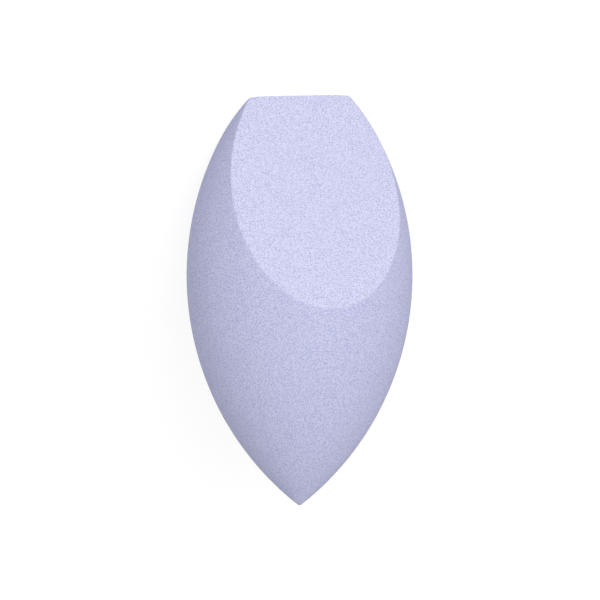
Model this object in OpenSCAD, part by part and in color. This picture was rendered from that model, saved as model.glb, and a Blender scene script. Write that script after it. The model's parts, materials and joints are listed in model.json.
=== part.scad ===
// Makeup blending sponge, one moulded piece of soft foam.
// Its outline is a single long arc turned about the axis, from a pointed end past the widest ring.
// Two mirrored flat slices take the far end to a straight ridge, which leaves a wedge.
// It lies on its rear slice, as it is put down on a table, so the pointed end is in the air.

/* [Moulded body] */
// Diameter of the body at its widest ring
body_d = 38; // [32:0.5:46]
// Height of the widest ring above the pointed end, along the axis
ring_h = 38.9; // [37:0.1:42]
// Radius that softens the pointed end
tip_r = 0.5; // [0.3:0.1:3]

/* [Wedge slices] */
// Height of the ridge, where the two slices meet, above the pointed end
ridge_h = 69.3; // [62:0.1:72]
// Angle between each slice and the long axis
slice_angle = 28.9; // [24:0.1:34]

/* [Foam] */
// Colour of the dry foam
foam_colour = "#CBCDEC"; // [#CBCDEC:lavender, #F2C4CE:pale pink, #F4D9B8:peach]

/* [Hidden] */

// Smoothness of every turned and drawn round
round_fn = 180;
// How far a cutting block runs past the foam on each side
overrun = 1;

// Share of the tip round's radius by which it stands proud of the long arc, so that the two cross
tip_proud_share = 0.02;

// The long arc passes through the widest ring and goes round a circle just inside the tip round,
// which fixes its radius. Its centre lies beyond the axis, level with the widest ring.
body_r = body_d / 2;
tip_core_r = tip_r * (1 - tip_proud_share);
arc_r = (pow(ring_h - tip_r, 2) + pow(body_r, 2) - pow(tip_core_r, 2)) / (2 * (body_r - tip_core_r));
arc_centre_x = body_r - arc_r;
// Height at which the tip round hands over to the long arc
tip_join_h = ring_h - (ring_h - tip_r) * arc_r / (arc_r - tip_core_r);

// The body lies with its axis tilted, so that the rear slice is level and faces down.
lying_turn = 90 + slice_angle;
ridge_y = ridge_h * cos(slice_angle);
tip_end_y = tip_r * cos(slice_angle) - tip_r;
middle_y = (ridge_y + tip_end_y) / 2;
ridge_rise = ridge_h * sin(slice_angle);

// Half of the body's outline: the long arc from the join to past the ridge, and the tip round
module half_outline() {
    intersection() {
        translate([arc_centre_x, ring_h]) circle(r = arc_r, $fn = round_fn);
        translate([0, tip_join_h]) square([body_r + overrun, ridge_h]);
    }
    intersection() {
        translate([0, tip_r]) circle(r = tip_r, $fn = round_fn);
        translate([0, -overrun]) square([body_r, ring_h]);
    }
}

// The foam as it leaves the mould, standing on its pointed end
module moulded_body() {
    rotate_extrude($fn = round_fn) half_outline();
}

// A block whose lower face is the rear slice: it starts at the ridge and slopes down and out
module rear_slice() {
    block_w = body_d + 2 * overrun;
    translate([0, 0, ridge_h])
        rotate([slice_angle - 90, 0, 0])
            translate([-block_w / 2, -ridge_h, 0])
                cube([block_w, 2 * ridge_h, body_d + overrun]);
}

// The same block on the front of the body
module front_slice() {
    mirror([0, 1, 0]) rear_slice();
}

// The finished sponge, laid on its rear slice with the middle of its footprint at the origin
module sponge_body() {
    color(foam_colour)
        translate([0, -middle_y, ridge_rise])
            rotate([-lying_turn, 0, 0])
                difference() {
                    moulded_body();
                    rear_slice();
                    front_slice();
                }
}

sponge_body();
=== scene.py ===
"""Looks of a makeup blending sponge: one piece of fine lavender foam, a teardrop sliced to a wedge.

The sponge lies on its rear slice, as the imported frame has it, and the camera looks at its front slice
with the pointed end at the bottom of the picture. Everything is in metres, in the frame's own axes.
"""

import json

import bpy
import numpy as np
from mathutils import Matrix, Vector


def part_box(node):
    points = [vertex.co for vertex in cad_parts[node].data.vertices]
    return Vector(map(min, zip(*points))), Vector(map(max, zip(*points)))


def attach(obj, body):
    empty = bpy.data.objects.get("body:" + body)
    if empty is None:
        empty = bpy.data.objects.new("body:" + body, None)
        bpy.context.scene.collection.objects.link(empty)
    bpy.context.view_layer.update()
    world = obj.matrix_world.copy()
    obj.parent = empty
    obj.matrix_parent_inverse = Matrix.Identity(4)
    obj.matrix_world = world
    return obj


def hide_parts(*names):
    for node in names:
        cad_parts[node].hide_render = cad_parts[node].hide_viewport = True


bl_info = {
    "name": "Makeup sponge",
    "version": (1, 0, 0),
    "blender": (4, 5, 0),
    "location": "View3D > Sidebar > Sponge",
    "description": "Makes a foam blending sponge with its cut faces, pores and studio stage",
    "category": "Add Mesh",
}

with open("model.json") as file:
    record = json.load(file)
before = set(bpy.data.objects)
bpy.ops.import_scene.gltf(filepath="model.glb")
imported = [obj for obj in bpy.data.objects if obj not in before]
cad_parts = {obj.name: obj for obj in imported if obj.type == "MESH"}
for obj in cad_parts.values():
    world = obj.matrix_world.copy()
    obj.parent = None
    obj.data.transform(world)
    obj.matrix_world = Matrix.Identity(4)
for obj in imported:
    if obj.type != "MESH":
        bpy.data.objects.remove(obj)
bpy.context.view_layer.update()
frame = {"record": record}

# What the frame says of the sponge: its solid's box and the direction of its front slice
NODE = "sponge_body"
BODY = "root"
LOW, HIGH = (np.array(corner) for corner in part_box(NODE))
MOUNTS = {mount["name"]: mount for mount in frame["record"]["mounts"]}
FRONT_AXIS = MOUNTS["front_slice"]["axis"]
# The rear slice lies level, so the front one is tilted by twice the angle of a slice to the axis
SLICE_ANGLE = float(np.arctan2(FRONT_AXIS[1], FRONT_AXIS[2])) / 2
BODY_DIAMETER = float(HIGH[0] - LOW[0])
TIP_RADIUS = 0.0005
# The box's length is the level run from the tip round's centre to the ridge, plus the tip radius
RIDGE_HEIGHT = float(HIGH[1] - LOW[1] - TIP_RADIUS) / np.cos(SLICE_ANGLE) + TIP_RADIUS

MM = 0.001
# Least length that another is divided by
TINY = 1e-9

# Start of the foam's random numbers
SEED = 7
# Primes that tell the cells of space apart, and the shifts and odd factors that mix their bits
CELL_PRIMES = (73856093, 19349663, 83492791)
SEED_FACTOR = 2654435761
MIXERS = ((29, 0xBF58476D1CE4E5B9), (32, 0x94D049BB133111EB))


class SpongeShape(bpy.types.PropertyGroup):
    """Sizes of the foam body."""

    body_diameter: bpy.props.FloatProperty(
        name="Body diameter", description="Width of the sponge at its widest ring",
        default=BODY_DIAMETER, unit="LENGTH", precision=4)
    ring_height: bpy.props.FloatProperty(
        name="Ring height", description="From the pointed end to the widest ring, along the axis",
        default=0.0389, unit="LENGTH", precision=4)
    tip_radius: bpy.props.FloatProperty(
        name="Tip radius", description="Round on the pointed end",
        default=TIP_RADIUS, unit="LENGTH", precision=4)
    ridge_height: bpy.props.FloatProperty(
        name="Ridge height", description="From the pointed end to the ridge, along the axis",
        default=RIDGE_HEIGHT, unit="LENGTH", precision=4)
    slice_angle: bpy.props.FloatProperty(
        name="Slice angle", description="Between each slice and the long axis",
        default=SLICE_ANGLE, subtype="ANGLE")
    edge_round: bpy.props.FloatProperty(
        name="Edge round", description="How far the edges of the slices are softened",
        default=0.12 * MM, unit="LENGTH", precision=5)
    corner_round: bpy.props.FloatProperty(
        name="Corner round", description="How much more the two ends of the ridge are softened",
        default=0.23 * MM, unit="LENGTH", precision=5)
    rows: bpy.props.IntProperty(
        name="Rows", description="Rings of points from the pointed end to the ridge",
        default=270, min=40)
    quarter_columns: bpy.props.IntProperty(
        name="Quarter columns", description="Steps around a quarter of each ring",
        default=90, min=10)


class FoamLook(bpy.types.PropertyGroup):
    """Colours, cells and grain of the foam, with the painted shade of its open pores."""

    skin_colour: bpy.props.FloatVectorProperty(
        name="Skin colour", description="Cell walls of the moulded surface",
        default=(0.686, 0.698, 0.910), subtype="COLOR", size=3, min=0, max=1)
    cut_colour: bpy.props.FloatVectorProperty(
        name="Cut colour", description="Cell walls of the freshly sliced surface",
        default=(0.767, 0.779, 0.974), subtype="COLOR", size=3, min=0, max=1)
    # Painted shade: the dark colour in the middle of each fine cell, standing in for the shade in its
    # open pore
    pore_shade_colour: bpy.props.FloatVectorProperty(
        name="Pore colour", description="Open pores, where light sinks in",
        default=(0.180, 0.185, 0.460), subtype="COLOR", size=3, min=0, max=1)
    pore_spacing: bpy.props.FloatProperty(
        name="Pore spacing", description="Usual distance between the larger open pores",
        default=0.80 * MM, unit="LENGTH", precision=5)
    pore_depth: bpy.props.FloatProperty(
        name="Pore depth", description="Depth of a larger open pore in the mesh",
        default=0.02 * MM, unit="LENGTH", precision=5)
    cell_size: bpy.props.FloatProperty(
        name="Cell size", description="Usual distance between the fine cells of the foam",
        default=0.18 * MM, unit="LENGTH", precision=5)
    grain_size: bpy.props.FloatProperty(
        name="Grain size", description="Size of the finest marks, on the walls of the cells",
        default=0.12 * MM, unit="LENGTH", precision=5)


class StudioStage(bpy.types.PropertyGroup):
    """Camera, soft box and even fill light."""

    turn: bpy.props.FloatProperty(
        name="Turn", description="How far the front slice is turned to the right of the camera",
        default=float(np.radians(17.22)), subtype="ANGLE")
    rise: bpy.props.FloatProperty(
        name="Rise", description="How far the camera stands towards the ridge end",
        default=float(np.radians(5.44)), subtype="ANGLE")
    distance: bpy.props.FloatProperty(
        name="Distance", description="From the camera to the sponge's axis",
        default=1.0096, unit="LENGTH", precision=4)
    aim_height: bpy.props.FloatProperty(
        name="Aim height", description="Point of the axis in the middle of the picture, from the tip",
        default=0.0348, unit="LENGTH", precision=4)
    fill: bpy.props.FloatProperty(
        name="Fill", description="Brightness of the even light from all round", default=0.483, min=0)
    key: bpy.props.FloatProperty(
        name="Key", description="Brightness of a white surface that faces the soft box",
        default=0.596, min=0)
    key_azimuth: bpy.props.FloatProperty(
        name="Key azimuth", description="Way to the soft box, from +Y towards +X",
        default=float(np.radians(-3)), subtype="ANGLE")
    key_elevation: bpy.props.FloatProperty(
        name="Key elevation", description="Way up to the soft box from the level",
        default=float(np.radians(54)), subtype="ANGLE")
    lamp_distance: bpy.props.FloatProperty(
        name="Lamp distance", description="From the soft box to the sponge",
        default=1.2, unit="LENGTH")
    lamp_size: bpy.props.FloatProperty(
        name="Lamp size", description="Width of the soft box", default=0.7, unit="LENGTH")


def crowded(count, length, middle, width, extra):
    """Places along a length that stand evenly, but closer around a middle, with both ends kept.

    The running count up to a place is the place, plus extra times width times the arc tangent of
    (place - middle) over width. Places at even steps of that count are found by halving.
    """
    def running(place):
        return place + extra * width * np.arctan((place - middle) / width)

    halvings = 40
    share = np.linspace(0, 1, count)
    start, stop = running(0 * length), running(length)
    target = start + share * (stop - start)
    low, high = 0 * (target + length), 0 * target + length
    for _ in range(halvings):
        half = (low + high) / 2
        short = running(half) < target
        low, high = np.where(short, half, low), np.where(short, high, half)
    return high


def arc_radius(shape):
    """Radius of the outline's long arc, which the small arc of the pointed end touches from inside.

    Its centre lies beyond the axis, level with the widest ring. It is a fraction: above the line,
    the square of the rise from the small arc's centre to the ring, plus the square of half the
    width, less the square of the small radius, and below it, twice the difference of the last two.
    """
    half, tip = shape.body_diameter / 2, shape.tip_radius
    reach = shape.ring_height - tip
    return (reach ** 2 + half ** 2 - tip ** 2) / (2 * (half - tip))


def half_outline(shape):
    """Radius and height of the outline before slicing, from the pointed end up.

    The outline is a small arc that rounds the pointed end, and one long arc from there through the
    widest ring. The rows stand closer where the slices begin and next to the ridge.
    """
    tip_rows = 4
    past_start, crowd_width, crowd_extra = 1.0 * MM, 1.2 * MM, 2.0
    last_step_shares = np.array([0.75, 0.5, 0.3, 0.15])
    half, tip = shape.body_diameter / 2, shape.tip_radius
    radius = arc_radius(shape)
    first = -np.arccos((radius - half) / (radius - tip))
    last = np.arcsin((shape.ridge_height - shape.ring_height) / radius)
    crowd_height = slice_start(shape) + past_start - shape.ring_height
    middle = radius * (np.arcsin(crowd_height / radius) - first)
    along = crowded(shape.rows, radius * (last - first), middle, crowd_width, crowd_extra)
    closer = along[-1] - (along[-1] - along[-2]) * last_step_shares
    angle = first + np.concatenate([along[:-1], closer, along[-1:]]) / radius
    round_angle = np.linspace(-np.pi / 2, first, tip_rows, endpoint=False)
    r = np.concatenate([tip * np.cos(round_angle), radius * np.cos(angle) - radius + half])
    z = np.concatenate([tip + tip * np.sin(round_angle), shape.ring_height + radius * np.sin(angle)])
    return np.maximum(r, 0), z


def slice_start(shape):
    """Height at which a slice first meets the long arc: the lower crossing of a circle and a line."""
    radius = arc_radius(shape)
    slope = np.tan(shape.slice_angle)
    centre = shape.body_diameter / 2 - radius
    drop = shape.ridge_height - shape.ring_height - centre / slope
    a = 1 + slope ** 2
    b = -drop * slope ** 2
    c = (drop * slope) ** 2 - radius ** 2
    return shape.ring_height + (-b - np.sqrt(b ** 2 - a * c)) / a


def sliced_rings(shape):
    """Points of the sliced body on a grid of rows by columns, in the sponge's own axes.

    Each row is the ring of the outline at one height, clipped by the two slices, which stand
    (ridge - height) times the tangent of the slice angle from the axis. A quarter of the ring is an
    arc from the side to the slice and a straight from there to the slice's middle. The columns
    stand closer around the slice's edge, and the nearest one is moved onto it. The other quarters
    mirror it.
    """
    crowd_width, crowd_extra, crowd_fade = 0.5 * MM, 2.0, 2 * MM
    quarter_columns = shape.quarter_columns
    r, z = half_outline(shape)
    wall = (shape.ridge_height - z) * np.tan(shape.slice_angle)
    wall[-1] = 0
    corner = np.arcsin(np.clip(wall / np.maximum(r, TINY), 0, 1))
    arc = (r * corner)[:, None]
    length = arc + (r * np.cos(corner))[:, None]
    below = np.maximum(slice_start(shape) - z, 0)[:, None]
    extra = crowd_extra * np.exp(-(below / crowd_fade) ** 2)
    along = crowded(quarter_columns + 1, length, arc, crowd_width, extra)
    nearest = np.abs(along - arc).argmin(axis=1)
    on_edge = (np.arange(quarter_columns + 1) == nearest[:, None]) & (nearest > 0)[:, None]
    along = np.where(on_edge & (nearest < quarter_columns)[:, None], arc, along)
    turn = np.minimum(along, arc) / np.maximum(r, TINY)[:, None]
    over = np.maximum(along - arc, 0)
    x = r[:, None] * np.cos(turn) - over
    y = r[:, None] * np.sin(turn)
    quarter = np.stack([x, y, np.broadcast_to(z[:, None], x.shape)], axis=-1)
    back_left = quarter[:, -2::-1] * (-1, 1, 1)
    half = np.concatenate([quarter, back_left], axis=1)
    front = half[:, -2:0:-1] * (1, -1, 1)
    return np.concatenate([half, front], axis=1)


def rounded_distance(points, shape):
    """Distance of points outside the body with softened slice edges, its slope, and its three parts.

    The long arc's surface and the two slices each have a distance. Where none is nearer than the
    edge round, the largest counts. Within it, the distances measured from a surface one edge round
    further in add up like the sides of a right angle, which turns the sharp edge into a round one.
    The edge round grows to a larger one in a bell around each end of the ridge.
    """
    corner_reach = 1.2 * MM
    half, radius = shape.body_diameter / 2, arc_radius(shape)
    x, y, z = points.T
    out = np.maximum(np.hypot(x, y), TINY)
    across = out + radius - half
    up = z - shape.ring_height
    length = np.hypot(across, up)
    sine, cosine = np.sin(shape.slice_angle), np.cos(shape.slice_angle)
    depth = shape.ridge_height * sine
    away = np.stack([length - radius, z * sine - y * cosine - depth, z * sine + y * cosine - depth])
    slope = np.zeros((3, len(points), 3))
    slope[0] = np.stack([across * x / out, across * y / out, up], axis=1) / length[:, None]
    slope[1] = (0, -cosine, sine)
    slope[2] = (0, cosine, sine)
    ridge_half = np.sqrt(radius ** 2 - (shape.ridge_height - shape.ring_height) ** 2) - radius + half
    from_end = np.hypot(np.hypot(np.abs(x) - ridge_half, y), z - shape.ridge_height)
    soft = shape.edge_round + shape.corner_round * np.exp(-(from_end / corner_reach) ** 2)
    inside = np.maximum(away + soft, 0)
    total = np.maximum(np.sqrt((inside ** 2).sum(axis=0)), TINY)
    distance = np.minimum(away.max(axis=0), -soft) + total
    return distance, (inside[..., None] * slope).sum(axis=0) / total[:, None], away


def softened(points, shape):
    """Points moved onto the body with softened edges, their outward directions and cut shares.

    Each point goes back along the slope of the distance a few times. The cut share is 0 on the
    moulded skin and 1 on a slice, and changes over the width of the edge round. The pointed end's
    own round keeps its places, and faces away from its centre.
    """
    passes = 8
    tip = points[:, 2] < shape.tip_radius
    moved = points.copy()
    for _ in range(passes):
        distance, slope, _ = rounded_distance(moved, shape)
        size = (slope ** 2).sum(axis=1)
        step = slope * (distance / size)[:, None]
        step[tip] = 0
        moved -= step
    _, slope, away = rounded_distance(moved, shape)
    centre = np.array([0, 0, shape.tip_radius])
    slope[tip] = moved[tip] - centre
    outward = slope / np.linalg.norm(slope, axis=1)[:, None]
    nearer = np.maximum(away[1], away[2]) - away[0]
    cut = np.clip(0.5 + nearer / (2 * shape.edge_round), 0, 1)
    return moved, outward, cut


def lattice(cells, seed):
    """Three even random numbers from 0 to 1 for each whole-numbered cell, the same each run.

    The cell's three numbers, each times its own prime, are joined with the seed by exclusive or.
    Each random number is the upper bits of that after two more rounds, in which the bits are joined
    with a shifted copy of themselves and multiplied.
    """
    upper_bits, lower_bits, seed_bits = 53, 11, 32
    keys = cells.astype(np.int64).astype(np.uint64) * np.array(CELL_PRIMES, np.uint64)
    mixed = keys[:, 0] ^ keys[:, 1] ^ keys[:, 2] ^ np.uint64(seed * SEED_FACTOR % 2 ** seed_bits)
    out = np.empty((len(cells), 3))
    for k in range(3):
        for shift, factor in MIXERS:
            mixed = (mixed ^ (mixed >> np.uint64(shift))) * np.uint64(factor)
        out[:, k] = (mixed >> np.uint64(lower_bits)).astype(float) / 2 ** upper_bits
    return out


def soft_noise(points, size, seed):
    """Smooth noise from -1 to 1 with lumps of the given size.

    The random values at the eight corners of the cell round a point are blended by smooth shares.
    """
    scaled = points / size
    base = np.floor(scaled)
    part = scaled - base
    blend = part * part * (3 - 2 * part)
    total = np.zeros(len(points))
    for corner in np.ndindex(2, 2, 2):
        corner = np.array(corner)
        share = np.prod(np.where(corner, blend, 1 - blend), axis=1)
        total += share * lattice(base + corner, seed)[:, 0]
    return 2 * total - 1


def pits(points, spacing, radius_share, seed):
    """Share of full depth, 0 to 1, of round pits scattered through space.

    Each cell of the given spacing holds one centre at a random place with a random size. A pit is
    a bowl: one less the square of the distance over the radius, squared. Where pits meet, the
    deeper one counts.
    """
    smallest, spread = 0.6, 0.8
    scaled = points / spacing
    base = np.floor(scaled)
    deepest = np.zeros(len(points))
    for offset in np.ndindex(3, 3, 3):
        cell = base + np.array(offset) - 1
        place = lattice(cell, seed)
        size = radius_share * (smallest + spread * lattice(cell, seed + 1)[:, 0])
        gap = ((scaled - cell - place) ** 2).sum(axis=1) / size ** 2
        deepest = np.maximum(deepest, np.clip(1 - gap, 0, 1) ** 2)
    return deepest


def foam_relief(points, cut, look):
    """Height of the foam's surface over the smooth body.

    It is the sum of long low lumps, a fine grain and small open pores. The grain and the pores are a
    little stronger on the slices. Widths follow the pore spacing, and heights the pore depth.
    """
    lump_spacings, grain_spacings, pore_radius_share = 6, 0.6, 0.34
    lump_depths, grain_depths, stronger_on_cut = 0.4, 0.3, 0.35
    lumps = soft_noise(points, lump_spacings * look.pore_spacing, SEED)
    grain = soft_noise(points, grain_spacings * look.pore_spacing, SEED + 1)
    pores = pits(points, look.pore_spacing, pore_radius_share, SEED + 2)
    strength = 1 + stronger_on_cut * cut
    fine = grain_depths * look.pore_depth * grain - look.pore_depth * pores
    return lump_depths * look.pore_depth * lumps + strength * fine


def to_frame(vectors, shape, place=True):
    """Vectors from the sponge's own axes, tip at the origin and ridge up, to the frame's axes.

    The body turns back about X by a right angle and the slice angle, so that its rear slice faces
    down, and then rises and shifts so that the ridge lies at the table and the box is centred.
    """
    turn = -(np.pi / 2 + shape.slice_angle)
    c, s = np.cos(turn), np.sin(turn)
    turned = np.asarray(vectors) @ np.array([[1, 0, 0], [0, c, -s], [0, s, c]]).T
    if not place:
        return turned
    ridge_y = shape.ridge_height * np.cos(shape.slice_angle)
    tip_y = shape.tip_radius * np.cos(shape.slice_angle) - shape.tip_radius
    rise = shape.ridge_height * np.sin(shape.slice_angle)
    return turned + (0, -(ridge_y + tip_y) / 2, rise)


def grid_faces(rows, columns):
    """Vertex number of each grid place, and the faces of a closed grid.

    The first row is one point, the pointed end. The last row is the ridge, where the front and back
    halves share their points, so a column there has the number of its mirror image.
    """
    number = np.zeros((rows, columns), int)
    inner = (rows - 2) * columns
    number[1:-1] = 1 + np.arange(inner).reshape(rows - 2, columns)
    column = np.arange(columns)
    number[-1] = 1 + inner + np.minimum(column, (columns - column) % columns)
    left, right = number, np.roll(number, -1, axis=1)
    quads = np.stack([left[1:-1], right[1:-1], right[2:], left[2:]], axis=-1).reshape(-1, 4)
    fan = np.stack([np.zeros(columns, int), right[1], left[1]], axis=-1)
    return number, quads, fan


def foam_mesh(name, shape, look):
    """The closed mesh of the sponge, smooth shaded, with a cut share on its points."""
    points = sliced_rings(shape)
    rows, columns = points.shape[:2]
    number, quads, fan = grid_faces(rows, columns)
    flat = np.zeros((number.max() + 1, 3))
    flat[number.ravel()] = points.reshape(-1, 3)
    placed, outward, cut = softened(flat, shape)
    placed += outward * foam_relief(placed, cut, look)[:, None]
    mesh = bpy.data.meshes.new(name)
    mesh.from_pydata(to_frame(placed, shape), [], [*fan.tolist(), *quads.tolist()])
    mesh.polygons.foreach_set("use_smooth", np.ones(len(mesh.polygons), bool))
    share = mesh.attributes.new("cut_share", "FLOAT", "POINT")
    share.data.foreach_set("value", cut.astype(np.float32))
    mesh.update()
    return mesh


def feed(tree, socket, value):
    """Links a socket to another node's output, or sets it to a constant."""
    if isinstance(value, bpy.types.NodeSocket):
        tree.links.new(value, socket)
    else:
        socket.default_value = value


def node(tree, kind, place, **inputs):
    """A new shader node at a place in the tree, with its sockets fed by name, or by number as i0."""
    made = tree.nodes.new(kind)
    made.location = place
    for name, value in inputs.items():
        key = int(name[1:]) if name[1:].isdigit() else name.replace("_", " ")
        feed(tree, made.inputs[key], value)
    return made


def ranged(tree, place, value, low, high, to_low, to_high):
    """A value mapped from one range to another, and kept inside it."""
    return node(tree, "ShaderNodeMapRange", place, Value=value, From_Min=low, From_Max=high,
                To_Min=to_low, To_Max=to_high).outputs["Result"]


def blended(tree, place, share, first, second, how="MIX"):
    """Two colours put together by a share.

    A Mix node keeps sockets for every kind of value, so those for colours are found by number.
    """
    share_in, first_in, second_in, colour_out = 0, 6, 7, 2
    made = node(tree, "ShaderNodeMix", place)
    made.data_type = "RGBA"
    made.blend_type = how
    feed(tree, made.inputs[share_in], share)
    feed(tree, made.inputs[first_in], first)
    feed(tree, made.inputs[second_in], second)
    return made.outputs[colour_out]


def calculated(tree, place, how, first, second):
    """Two values made one by a Math node, such as their product or the larger of them."""
    made = node(tree, "ShaderNodeMath", place, i0=first, i1=second)
    made.operation = how
    return made.outputs[0]


def seen_share(tree):
    """One for what the camera sees, straight, mirrored or through glass, and nought for other light."""
    path = node(tree, "ShaderNodeLightPath", (-600, 200))
    seen = calculated(tree, (-400, 200), "MAXIMUM", path.outputs["Is Camera Ray"],
                      path.outputs["Is Glossy Ray"])
    return calculated(tree, (-200, 200), "MAXIMUM", seen, path.outputs["Is Transmission Ray"])


def foam_material(look):
    """Dry matt foam: moulded skin and fresh cut, faint mottling, fine grain and painted pore shade.

    The middle of each fine cell is an open pore, with its shade painted in. Away from it the colour
    goes to that of the wall, which is the skin's or the cut's, and less so where the grain marks the
    wall.
    """
    mottle_spacings, mottle_share = 5, 0.04
    pore_edge, wall_edge = 0.15, 0.45
    grain_low, grain_high, darkest_mark = 0.3, 0.7, 0.72
    rough_low, rough_high, least_rough = 0.2, 0.8, 0.88
    bump_strength, bump_height, shine = 0.3, 0.1 * MM, 0.15
    material = bpy.data.materials.new("lavender_foam")
    material.use_nodes = True
    tree = material.node_tree
    tree.nodes.clear()
    place = node(tree, "ShaderNodeTexCoord", (-1600, 0)).outputs["Object"]
    attribute = node(tree, "ShaderNodeAttribute", (-1600, -300))
    attribute.attribute_name = "cut_share"
    cut = attribute.outputs["Fac"]

    mottle = node(tree, "ShaderNodeTexNoise", (-1350, 300), Vector=place,
                  Scale=1 / (mottle_spacings * look.pore_spacing),
                  Detail=2.0, Roughness=0.6).outputs["Color"]
    grain = node(tree, "ShaderNodeTexNoise", (-1350, 0), Vector=place,
                 Scale=1 / look.grain_size, Detail=2.0, Roughness=0.7).outputs["Fac"]
    cells = node(tree, "ShaderNodeTexVoronoi", (-1350, -300), Vector=place,
                 Scale=1 / look.cell_size, Randomness=0.85).outputs["Distance"]

    base = blended(tree, (-900, 300), cut, (*look.skin_colour, 1), (*look.cut_colour, 1))
    tinted = blended(tree, (-650, 300), mottle_share, base, mottle, "OVERLAY")
    walls = ranged(tree, (-900, -300), cells, pore_edge, wall_edge, 0.0, 1.0)
    marks = ranged(tree, (-900, 0), grain, grain_low, grain_high, darkest_mark, 1.0)
    wall_share = calculated(tree, (-450, -50), "MULTIPLY", walls, marks)
    # Painted shade: the pore shade colour fills the middle of each fine cell, and the grain marks pull
    # the walls part way towards it
    colour = blended(tree, (-250, 200), wall_share, (*look.pore_shade_colour, 1), tinted)

    height = calculated(tree, (-650, -500), "ADD", cells, grain)
    bump = node(tree, "ShaderNodeBump", (-250, -300), Strength=bump_strength, Distance=bump_height,
                Height=height).outputs["Normal"]
    rough = ranged(tree, (-450, -250), grain, rough_low, rough_high, least_rough, 1.0)
    shader = node(tree, "ShaderNodeBsdfPrincipled", (0, 100), Base_Color=colour, Roughness=rough,
                  Specular_IOR_Level=shine, Normal=bump)
    node(tree, "ShaderNodeOutputMaterial", (300, 100), Surface=shader.outputs[0])
    return material


def camera_axes(shape, stage):
    """Right, up and back of the camera in the frame's axes, as unit vectors.

    In the sponge's own axes the camera stands before the front slice, turned to the left and raised
    towards the ridge, and the picture's up follows the sponge's axis.
    """
    back = np.array([-np.sin(stage.turn) * np.cos(stage.rise),
                     -np.cos(stage.turn) * np.cos(stage.rise),
                     np.sin(stage.rise)])
    right = np.cross((0, 0, 1), back)
    right /= np.linalg.norm(right)
    up = np.cross(back, right)
    return to_frame(np.array([right, up, back]), shape, place=False)


def make_camera(shape, stage):
    """The camera of the picture, far enough away for the flat look of a long lens."""
    right, up, back = camera_axes(shape, stage)
    # Pixels across the photograph, and where the sponge's axis stands in it from the left
    picture_width, axis_pixel = 600, 299.54
    # Width of the view at the sponge in metres, and of the camera's sensor in millimetres
    view_width, sensor = 0.10096, 36.0
    data = bpy.data.cameras.new("picture_camera")
    data.sensor_width = sensor
    data.lens = sensor * stage.distance / view_width
    camera = bpy.data.objects.new("picture_camera", data)
    bpy.context.collection.objects.link(camera)
    aim = to_frame(np.array([0, 0, stage.aim_height]), shape)
    aim = aim + right * (picture_width / 2 - axis_pixel) * view_width / picture_width
    turned = Matrix(np.stack([right, up, back], axis=1).tolist()).to_4x4()
    turned.translation = Vector(aim + back * stage.distance)
    camera.matrix_world = turned
    bpy.context.scene.camera = camera


def make_world(stage):
    """Even fill light, with white where the camera looks past the floor."""
    world = bpy.data.worlds.new("studio_world")
    world.use_nodes = True
    bpy.context.scene.world = world
    tree = world.node_tree
    tree.nodes.clear()
    fill = node(tree, "ShaderNodeBackground", (-200, 0), Color=(1, 1, 1, 1), Strength=stage.fill)
    white = node(tree, "ShaderNodeBackground", (-200, -150), Color=(1, 1, 1, 1), Strength=1.0)
    mix = node(tree, "ShaderNodeMixShader", (0, 0), i0=seen_share(tree), i1=fill.outputs[0],
               i2=white.outputs[0])
    node(tree, "ShaderNodeOutputWorld", (200, 0), Surface=mix.outputs[0])


def make_floor():
    """A wide plain disc, a hair below the sponge, that the camera sees as white with a faint shadow.

    What the camera sees is mostly a glow a little brighter than white, and for the rest the matt
    floor, so the lit floor comes out white and only the sponge's shadow falls below it.
    """
    radius, count, under = 3.0, 96, -0.05 * MM
    grey, glow_strength, glow_share = 0.8, 1.1, 0.8
    turn = np.linspace(0, 2 * np.pi, count, endpoint=False)
    ring = np.stack([radius * np.cos(turn), radius * np.sin(turn), np.full(count, under)], axis=1)
    mesh = bpy.data.meshes.new("studio_floor")
    mesh.from_pydata(ring, [], [list(range(count))])
    material = bpy.data.materials.new("floor_white")
    material.use_nodes = True
    tree = material.node_tree
    tree.nodes.clear()
    matt = node(tree, "ShaderNodeBsdfDiffuse", (-200, 0), Color=(grey, grey, grey, 1))
    glow = node(tree, "ShaderNodeEmission", (-200, -150), Color=(1, 1, 1, 1), Strength=glow_strength)
    shown = node(tree, "ShaderNodeMixShader", (0, -50), i0=glow_share, i1=matt.outputs[0],
                 i2=glow.outputs[0])
    mix = node(tree, "ShaderNodeMixShader", (200, 0), i0=seen_share(tree), i1=matt.outputs[0],
               i2=shown.outputs[0])
    node(tree, "ShaderNodeOutputMaterial", (400, 0), Surface=mix.outputs[0])
    mesh.materials.append(material)
    floor = bpy.data.objects.new("studio_floor", mesh)
    bpy.context.collection.objects.link(floor)


def make_soft_box(stage):
    """The one lamp, a square soft box that stands in a direction from the sponge and faces it.

    A lamp of power P at distance d lights what faces it by P over pi times d squared, and a white
    matt surface sends a share of one over pi of that to the camera.
    """
    azimuth, elevation = stage.key_azimuth, stage.key_elevation
    data = bpy.data.lights.new("key_box", "AREA")
    data.shape = "SQUARE"
    data.size = stage.lamp_size
    data.energy = stage.key * (np.pi * stage.lamp_distance) ** 2
    lamp = bpy.data.objects.new("key_box", data)
    bpy.context.collection.objects.link(lamp)
    towards = Vector((np.sin(azimuth) * np.cos(elevation), np.cos(azimuth) * np.cos(elevation),
                      np.sin(elevation)))
    middle = Vector((0, 0, float(HIGH[2]) / 2))
    lamp.location = middle + towards * stage.lamp_distance
    lamp.rotation_euler = towards.to_track_quat("Z", "Y").to_euler()
    lamp.visible_camera = False


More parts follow.
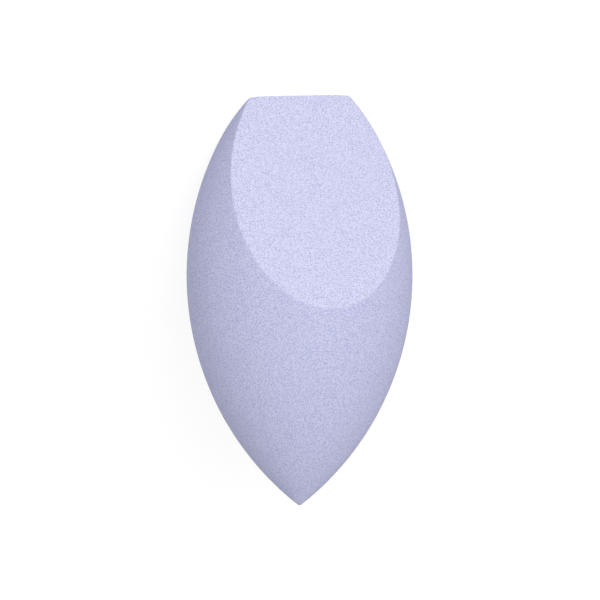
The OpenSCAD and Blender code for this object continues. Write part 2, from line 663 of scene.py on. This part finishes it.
class SPONGE_OT_foam_body(bpy.types.Operator):
    """Make the foam body with its slices, pores and finish"""

    bl_idname = "sponge.foam_body"
    bl_label = "Foam Body"

    def execute(self, context):
        shape, look = context.scene.sponge_shape, context.scene.foam_look
        mesh = foam_mesh("foam_sponge", shape, look)
        if not len(mesh.polygons):
            raise RuntimeError("The foam body came out empty")
        mesh.materials.append(foam_material(look))
        sponge = bpy.data.objects.new("foam_sponge", mesh)
        context.collection.objects.link(sponge)
        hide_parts(NODE)
        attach(sponge, BODY)
        return {"FINISHED"}


class SPONGE_OT_stage(bpy.types.Operator):
    """Make the camera, the soft box, the even fill light and the floor"""

    bl_idname = "sponge.stage"
    bl_label = "Studio Stage"

    def execute(self, context):
        shape, stage = context.scene.sponge_shape, context.scene.studio_stage
        make_camera(shape, stage)
        make_world(stage)
        make_floor()
        make_soft_box(stage)
        if context.scene.camera is None:
            raise RuntimeError("The stage has no camera")
        return {"FINISHED"}


class SPONGE_PT_panel(bpy.types.Panel):
    """Buttons and sizes of the sponge"""

    bl_idname = "SPONGE_PT_panel"
    bl_label = "Makeup Sponge"
    bl_space_type = "VIEW_3D"
    bl_region_type = "UI"
    bl_category = "Sponge"

    def draw(self, context):
        for group in (context.scene.sponge_shape, context.scene.foam_look, context.scene.studio_stage):
            box = self.layout.box()
            for name in group.__annotations__:
                box.prop(group, name)
        self.layout.operator(SPONGE_OT_foam_body.bl_idname)
        self.layout.operator(SPONGE_OT_stage.bl_idname)


CLASSES = (SpongeShape, FoamLook, StudioStage, SPONGE_OT_foam_body, SPONGE_OT_stage, SPONGE_PT_panel)


def register():
    """Adds the classes and the scene's three groups of settings."""
    for kind in CLASSES:
        bpy.utils.register_class(kind)
    bpy.types.Scene.sponge_shape = bpy.props.PointerProperty(type=SpongeShape)
    bpy.types.Scene.foam_look = bpy.props.PointerProperty(type=FoamLook)
    bpy.types.Scene.studio_stage = bpy.props.PointerProperty(type=StudioStage)


def unregister():
    """Takes them away again."""
    del bpy.types.Scene.studio_stage
    del bpy.types.Scene.foam_look
    del bpy.types.Scene.sponge_shape
    for kind in reversed(CLASSES):
        bpy.utils.unregister_class(kind)


def main():
    """Makes the sponge and its stage."""
    register()
    bpy.context.scene.view_settings.view_transform = "Standard"
    bpy.ops.sponge.foam_body()
    bpy.ops.sponge.stage()


if __name__ == "__main__":
    main()
